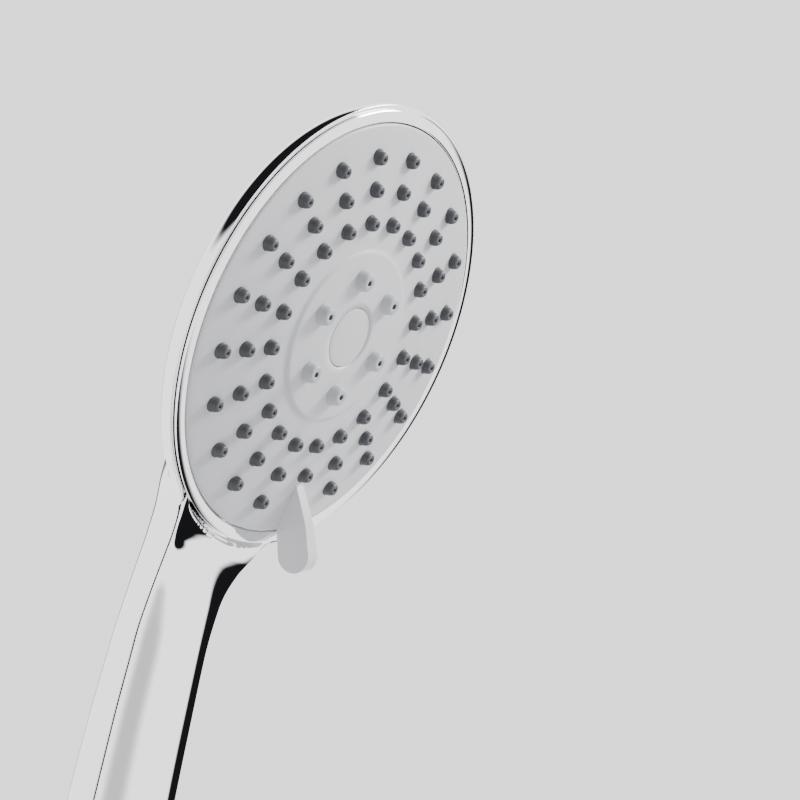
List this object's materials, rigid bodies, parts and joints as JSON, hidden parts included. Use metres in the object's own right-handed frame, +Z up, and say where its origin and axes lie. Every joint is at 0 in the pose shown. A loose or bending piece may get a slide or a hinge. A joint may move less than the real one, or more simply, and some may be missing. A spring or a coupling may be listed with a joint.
{
  "type": "handheld shower head",
  "caption": "Chromed handheld shower head: a round spray face with rubber nozzles, a thumb lever that turns it between spray modes, and a slim handle ending in a hose thread.",
  "frame": {"origin": "centre of the inlet's sealing face, at the free end of the hose thread", "axes": "+Z runs up the handle from the inlet to the head; -Y is the side that the spray face looks towards; +X is to the right when the spray face is looked at with the handle down"},
  "size_m": [0.1106, 0.053, 0.2461],
  "materials": {
    "chrome": "bright mirror-polished chrome plating on moulded plastic",
    "face_white": "smooth satin white plastic",
    "rubber_dark": "matte dark grey silicone",
    "rubber_pale": "matte light grey silicone",
    "plastic_white": "plain natural white moulded plastic",
    "plastic_grey": "plain grey moulded plastic",
    "rubber_black": "black nitrile rubber",
    "steel": "plain stainless steel",
    "brass": "turned brass with a nickel finish"
  },
  "bodies": {
    "casing": {"rear_cover": "chrome", "front_cover": "chrome", "bezel_ring": "chrome", "end_ferrule": "chrome", "water_body": "plastic_white", "handle_tube": "plastic_white", "filter_frame": "plastic_grey", "flow_regulator": "plastic_grey", "valve_body": "plastic_white", "post_o_ring": "rubber_black", "tube_o_ring_lower": "rubber_black", "tube_o_ring_upper": "rubber_black", "inlet_washer": "rubber_black", "flow_ring": "rubber_black", "nipple_o_ring": "rubber_black", "body_screws": "steel", "port_spring": "steel", "detent_spring": "steel", "centre_screw": "steel", "centre_washer": "steel", "filter_mesh": "steel", "inlet_nipple": "brass"},
    "spray_engine": {"face_plate": "face_white", "selector_lever": "face_white", "centre_cap": "face_white", "rain_nozzle_mat": "rubber_dark", "massage_nozzle_mat": "rubber_pale", "spray_chamber": "plastic_white", "channel_gasket": "rubber_black", "port_plate": "plastic_white", "engine_screws": "steel", "swirl_plate": "plastic_white"},
    "turbine_rotor": {"turbine": "plastic_grey"},
    "detent": {"detent_ball": "steel"},
    "seal": {"port_seal": "rubber_black"},
    "check_valve": {"valve_poppet": "plastic_grey", "valve_seal": "rubber_black", "valve_spring": "steel"}
  },
  "joints": [
    {"name": "selector_turn", "type": "hinge", "parent": "casing", "child": "spray_engine", "pos_m": [0, -0.02757, 0.19145], "axis": [0, -0.969, -0.247], "range_deg": [-42, 0]},
    {"name": "turbine_spin", "type": "hinge", "parent": "spray_engine", "child": "turbine_rotor", "pos_m": [0, -0.02757, 0.19145], "axis": [0, -0.969, -0.247], "continuous": true},
    {"name": "detent_ball_travel", "type": "slide", "parent": "casing", "child": "detent", "axis": [0, -0.969, -0.247], "range_m": [0, 0.0006], "stiffness_N_per_m": 600, "springref_m": 0.0012},
    {"name": "port_seal_lift", "type": "slide", "parent": "casing", "child": "seal", "axis": [0, -0.969, -0.247], "range_m": [-0.0005, 0], "stiffness_N_per_m": 800, "springref_m": 0.0012},
    {"name": "check_valve_lift", "type": "slide", "parent": "casing", "child": "check_valve", "axis": [0, 0, 1], "range_m": [0, 0.0025], "stiffness_N_per_m": 150, "springref_m": -0.001, "deforming": ["valve_spring"]}
  ]
}
